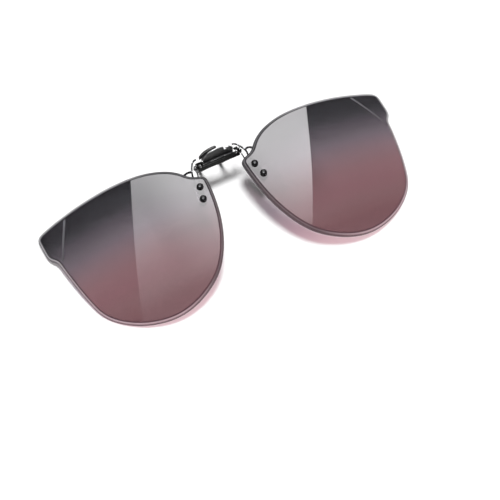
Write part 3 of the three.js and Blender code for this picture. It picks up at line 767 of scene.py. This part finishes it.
# ---------------------------------------------------------------- camera
right = Vector((8.91075856e-01, -4.53854402e-01, 0.0))
down = Vector((-0.39111324, -0.76787024, -0.50735168))
fwd = Vector((0.23024824, 0.45209675, -0.8617391))
cam_data = bpy.data.cameras.new("camera")
cam = bpy.data.objects.new("camera", cam_data)
scene.collection.objects.link(cam)
rot = Matrix((right, -down, -fwd)).transposed().to_4x4()
cam.matrix_world = Matrix.Translation(Vector((-189.97644683, -380.49142118, 700.32579213)) * K) @ rot
cam_data.sensor_width = 36
cam_data.sensor_fit = "HORIZONTAL"
cam_data.lens = 158.4
cam_data.clip_start, cam_data.clip_end = 0.01, 50
scene.camera = cam

# ---------------------------------------------------------------- metal pieces carried over from CAD
def dress(name, mat, bevel=0.06, angle=30, segments=2):
    o = nodes[name]
    o.data.materials.clear()
    o.data.materials.append(mat)
    o.data.shade_smooth()
    o.data.set_sharp_from_angle(angle=math.radians(angle))
    if bevel:
        w = o.modifiers.new("joined", "WELD")
        w.merge_threshold = 1e-7
        d = o.modifiers.new("flats", "DECIMATE")
        d.decimate_type = "DISSOLVE"
        d.angle_limit = math.radians(0.5)
        b = o.modifiers.new("edges", "BEVEL")
        b.width = bevel * K
        b.segments = segments
        b.limit_method = "ANGLE"
        b.angle_limit = math.radians(angle)
        b.harden_normals = True
        b.use_clamp_overlap = True
        w = o.modifiers.new("slivers", "WELD")
        w.merge_threshold = 5e-7
    return o


dress("clip_channel", GUNMETAL, 0.07, 30, 3)
dress("rear_jaw", JAWMETAL, 0.06, 30, 3)
dress("press_tab_pad", GLOSS, 0.10, 30, 3)
dress("flip_rod", STEEL, 0.05, 40)
for n in ("left_rod_eyelet", "right_rod_eyelet"):
    dress(n, STEEL, 0.06, 40)
for n in ("left_end_pin", "right_end_pin"):
    dress(n, BRIGHT, 0.04, 40)
for n in ("left_lens_bracket", "right_lens_bracket"):
    dress(n, STEEL, 0.06, 40)
dress("jaw_torsion_spring", SPRING, 0)
dress("detent_leaf_spring", SPRING, 0.03, 30)
for n in ("left_front_leg_pad", "right_front_leg_pad", "left_rear_leg_pad", "right_rear_leg_pad"):
    dress(n, RUBBER, 0.2, 30, 4).visible_shadow = False

# ---------------------------------------------------------------- floor
mesh = bpy.data.meshes.new("table_top")
mesh.from_pydata([(-4, -4, -2e-5), (4, -4, -2e-5), (4, 4, -2e-5), (-4, 4, -2e-5)], [], [(0, 1, 2, 3)])
floor = bpy.data.objects.new("table_top", mesh)
scene.collection.objects.link(floor)
m, t, out = material("white_table")
d = node(t, "ShaderNodeBsdfDiffuse", Color=(0.9, 0.9, 0.9, 1))
t.links.new(d.outputs[0], out.inputs["Surface"])
mesh.materials.append(m)

# ---------------------------------------------------------------- light
# a soft box above and behind, whose long straight sides show in the lenses
rows = np.linspace(-700, 1700, 61)
left_x = np.polyval(np.polyfit([958, 575, 254, -48, -364], [-100, -236, -363, -498, -653], 2), rows)
right_x = np.polyval(np.polyfit([1333, 760, 371, 61, -216], [1315, 956, 731, 569, 440], 2), rows)
# glow begin
LEFT_GLOW = [(-900, .05), (-400, .15), (-250, .24), (-100, .33), (50, .42), (200, .51), (350, .61), (500, .75), (700, .90), (900, 1.0), (1200, 1.1)]
RIGHT_GLOW = [(-900, .05), (-400, .15), (-250, .42), (-100, .78), (50, 1.16), (200, 1.47), (350, 1.63), (500, 1.7), (700, 1.7), (900, 1.62), (1200, 1.5)]


def glow_at(x, y):
    w = min(1, max(0, (x * 1000 + 150) / 550))
    w = w * w * (3 - 2 * w)
    y = y * 1000
    return np.interp(y, *zip(*LEFT_GLOW)) * (1 - w) + np.interp(y, *zip(*RIGHT_GLOW)) * w


# glow end
cols = 41
verts, glow, faces = [], [], []
for j, y in enumerate(rows):
    for i in range(cols):
        s = i / (cols - 1)
        verts.append((((left_x[j] + 10) + s * (right_x[j] - left_x[j] - 36)) * K, y * K, 1.2))
        glow.append(float(glow_at(verts[-1][0], verts[-1][1])))
for j in range(len(rows) - 1):
    for i in range(cols - 1):
        a = j * cols + i
        faces.append((a, a + cols, a + cols + 1, a + 1))
mesh = bpy.data.meshes.new("soft_box")
mesh.from_pydata(verts, [], faces)
att = mesh.attributes.new("glow", "FLOAT", "POINT")
att.data.foreach_set("value", np.array(glow, np.float32))
box = bpy.data.objects.new("soft_box", mesh)
scene.collection.objects.link(box)
m, t, out = material("soft_box_glow")
a = t.nodes.new("ShaderNodeAttribute")
a.attribute_name = "glow"
e = node(t, "ShaderNodeEmission")
t.links.new(a.outputs["Fac"], e.inputs["Strength"])
t.links.new(e.outputs[0], out.inputs["Surface"])
mesh.materials.append(m)
box.visible_camera = box.visible_diffuse = box.visible_shadow = box.visible_transmission = False

sun = bpy.data.lights.new("key", "SUN")
sun.energy = 3.4
sun.angle = math.radians(15)
key = bpy.data.objects.new("key", sun)
scene.collection.objects.link(key)
key.rotation_mode = "QUATERNION"
key.rotation_quaternion = Vector((0.02, -0.03, 1.0)).normalized().to_track_quat("Z", "Y")
key.visible_glossy = False
# the same lamp's glint on the fittings
spark = bpy.data.lights.new("glint", "SUN")
spark.energy = 1.6
spark.angle = math.radians(7)
glint = bpy.data.objects.new("glint", spark)
scene.collection.objects.link(glint)
glint.rotation_mode = "QUATERNION"
glint.rotation_quaternion = Vector((0.075, 0.147, 0.986)).normalized().to_track_quat("Z", "Y")
glint.visible_diffuse = False
fittings = bpy.data.collections.new("fittings")
for o in scene.objects:
    if o.type == "MESH" and o not in lens_objs and o.name not in ("table_top", "soft_box", "left_lens", "right_lens"):
        fittings.objects.link(o)
glint.light_linking.receiver_collection = fittings
# and its wider, brighter reflection in the polished rivet heads
pearl = bpy.data.lights.new("rivet_highlight", "SUN")
pearl.energy = 6.0
pearl.angle = math.radians(28)
shine = bpy.data.objects.new("rivet_highlight", pearl)
scene.collection.objects.link(shine)
shine.rotation_mode = "QUATERNION"
shine.rotation_quaternion = glint.rotation_quaternion
shine.visible_diffuse = False
heads = bpy.data.collections.new("rivet_heads")
for o in scene.objects:
    if o.name.endswith("_rivet_dome"):
        heads.objects.link(o)
shine.light_linking.receiver_collection = heads

# the small parts behind the left lens throw no shadow of their own through its tint
for o in scene.objects:
    if o.name.startswith("left_") and o.name.endswith(("_lens_bracket", "_rivet_curl", "_washer_ring", "_rivet_collar")):
        o.visible_shadow = False

world = bpy.data.worlds.new("studio")
scene.world = world
world.use_nodes = True
t = world.node_tree
t.nodes.clear()
out = t.nodes.new("ShaderNodeOutputWorld")
lp = t.nodes.new("ShaderNodeLightPath")
tc = t.nodes.new("ShaderNodeTexCoord")
sep = t.nodes.new("ShaderNodeSeparateXYZ")
t.links.new(tc.outputs["Generated"], sep.inputs[0])
plain = node(t, "ShaderNodeBackground", Color=(1, 1, 1, 1), Strength=0.25)
dim = t.nodes.new("ShaderNodeBackground")
t.links.new(ramp(t, [(0.0, (0.9, 0.9, 0.9)), (0.05, (0.35, 0.35, 0.35)), (0.13, (0.03, 0.03, 0.03)), (1.0, (0.012, 0.012, 0.012))], sep.outputs["Z"]), dim.inputs["Color"])
seen = node(t, "ShaderNodeBackground", Color=(1, 1, 1, 1), Strength=1.0)
mix = t.nodes.new("ShaderNodeMixShader")
t.links.new(lp.outputs["Is Glossy Ray"], mix.inputs[0])
t.links.new(plain.outputs[0], mix.inputs[1])
t.links.new(dim.outputs[0], mix.inputs[2])
mix2 = t.nodes.new("ShaderNodeMixShader")
t.links.new(lp.outputs["Is Camera Ray"], mix2.inputs[0])
t.links.new(mix.outputs[0], mix2.inputs[1])
t.links.new(seen.outputs[0], mix2.inputs[2])
t.links.new(mix2.outputs[0], out.inputs["Surface"])

scene.view_settings.view_transform = "Standard"
scene.view_settings.look = "None"
